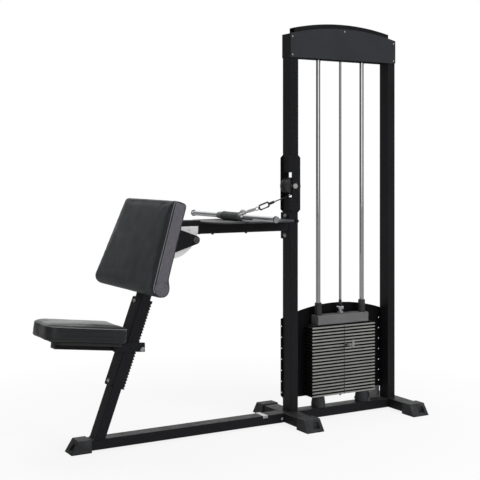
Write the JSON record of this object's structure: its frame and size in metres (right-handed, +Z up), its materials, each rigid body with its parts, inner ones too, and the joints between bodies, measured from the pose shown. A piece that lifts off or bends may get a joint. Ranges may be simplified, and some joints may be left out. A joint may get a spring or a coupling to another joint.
{
  "type": "biceps triceps machine",
  "caption": "Seated cable curl machine: sloped arm pad and height-adjustable seat on a slanted post, a low table with a curl bar, and a weight-stack tower behind arched covers.",
  "frame": {"origin": "on the floor, centred under the machine's box", "axes": "+X from the seat towards the weight tower, +Y across the machine to the shroud's side, +Z up"},
  "size_m": [2.153, 0.88, 2.165],
  "materials": {
    "frame_coat": "satin black powder coat",
    "cover_coat": "fine matt black powder coat",
    "foot_rubber": "matt moulded rubber",
    "grip_rubber": "knurled grey rubber",
    "chrome": "polished chrome",
    "brushed_steel": "brushed along its length",
    "zinc": "bright zinc plate",
    "plate_coat": "ground grey iron with bare bright rims",
    "pale_sheet": "smooth pale coat",
    "upholstery": "slate vinyl over foam",
    "pad_board": "black painted plywood",
    "nylon": "satin black nylon",
    "cable_jacket": "black plastic over steel rope"
  },
  "bodies": {
    "frame": {"floor_tube": "frame_coat", "crossfoot_front": "frame_coat", "crossfoot_rear": "frame_coat", "base_rail": "frame_coat", "foot_seat_end": "foot_rubber", "foot_front_near": "foot_rubber", "foot_front_far": "foot_rubber", "foot_rear_near": "foot_rubber", "foot_rear_far": "foot_rubber", "upright_front": "frame_coat", "upright_rear": "frame_coat", "top_beam": "frame_coat", "cover_near": "cover_coat", "cover_far": "cover_coat", "shroud": "cover_coat", "guide_rod_front": "chrome", "guide_rod_rear": "chrome", "bumper_front": "foot_rubber", "bumper_rear": "foot_rubber", "resting_plates": "plate_coat", "pulley_plate_near": "frame_coat", "pulley_plate_far": "frame_coat", "tower_axle": "zinc", "table_beam": "frame_coat", "table_top": "frame_coat", "post_bridge": "frame_coat", "seat_post": "frame_coat", "guard_near": "pale_sheet", "guard_far": "pale_sheet", "pad_bracket": "frame_coat", "arm_pad_board": "pad_board", "arm_pad": "upholstery", "post_guide_strip": "frame_coat", "post_rack": "frame_coat", "curl_cable": "cable_jacket", "press_cable": "cable_jacket"},
    "stack": {"head_plate": "brushed_steel", "bush_front": "nylon", "bush_rear": "nylon", "selector_rod": "zinc", "lift_clevis": "chrome", "lifted_plates": "plate_coat", "lift_cables": "cable_jacket"},
    "pin": {"selector_pin": "chrome"},
    "seat": {"seat_carriage": "frame_coat", "seat_board": "pad_board", "seat_pad": "upholstery", "seat_lock_pin": "chrome"},
    "handle": {"handle_bar": "chrome", "handle_sleeve": "grip_rubber", "handle_link": "zinc", "carabiner": "zinc", "cable_ferrule": "nylon", "handle_cable": "cable_jacket"},
    "tower_wheel": {"tower_pulley": "nylon"},
    "top_front_wheel": {"top_pulley_front": "nylon"},
    "top_stack_wheel": {"top_pulley_stack": "nylon"},
    "beam_wheel": {"beam_pulley": "nylon"},
    "table_end_wheel": {"table_end_pulley": "nylon"},
    "press_end": {"press_ring": "zinc"}
  },
  "joints": [
    {"name": "stack_lift", "type": "slide", "parent": "frame", "child": "stack", "axis": [0, 0, 1], "range_m": [0, 0.63], "deforming": ["lift_cables"]},
    {"name": "pin_pull", "type": "slide", "parent": "stack", "child": "pin", "axis": [0, -1, 0], "range_m": [0, 0.1]},
    {"name": "seat_adjust", "type": "slide", "parent": "frame", "child": "seat", "axis": [0.342, 0, 0.9397], "range_m": [-0.1, 0.12]},
    {"name": "handle_swing", "type": "hinge", "parent": "frame", "child": "handle", "pos_m": [0.27301, 0, 2.3398], "axis": [0, 1, 0], "range_deg": [0, 34]},
    {"name": "tower_pulley_spin", "type": "hinge", "parent": "frame", "child": "tower_wheel", "pos_m": [0.34121, 0, 1.273], "axis": [0, 1, 0], "range_deg": [-900, 900]},
    {"name": "top_pulley_front_spin", "type": "hinge", "parent": "frame", "child": "top_front_wheel", "pos_m": [0.42921, 0, 2.035], "axis": [0, 1, 0], "range_deg": [-900, 900]},
    {"name": "top_pulley_stack_spin", "type": "hinge", "parent": "frame", "child": "top_stack_wheel", "pos_m": [0.62771, 0, 2.035], "axis": [0, 1, 0], "range_deg": [-900, 900]},
    {"name": "triceps_pull", "type": "slide", "parent": "frame", "child": "press_end", "axis": [0, 0, 1], "range_m": [0, 0.5]},
    {"name": "beam_pulley_spin", "type": "hinge", "parent": "frame", "child": "beam_wheel", "pos_m": [0.35771, 0.0065, 1.084], "axis": [0, 1, 0], "range_deg": [-1100, 1100]},
    {"name": "table_end_pulley_spin", "type": "hinge", "parent": "frame", "child": "table_end_wheel", "pos_m": [-0.33879, 0.0065, 1.089], "axis": [0, 1, 0], "range_deg": [-900, 900]}
  ],
  "couplings": [
    {"joint": "handle_swing", "follows": "stack_lift", "rad_per_m": 0.92},
    {"joint": "tower_pulley_spin", "follows": "stack_lift", "rad_per_m": 22.727},
    {"joint": "top_pulley_front_spin", "follows": "stack_lift", "rad_per_m": -22.727},
    {"joint": "top_pulley_stack_spin", "follows": "stack_lift", "rad_per_m": -22.727},
    {"joint": "beam_pulley_spin", "follows": "triceps_pull", "rad_per_m": 36.364},
    {"joint": "table_end_pulley_spin", "follows": "triceps_pull", "rad_per_m": 30.769}
  ]
}
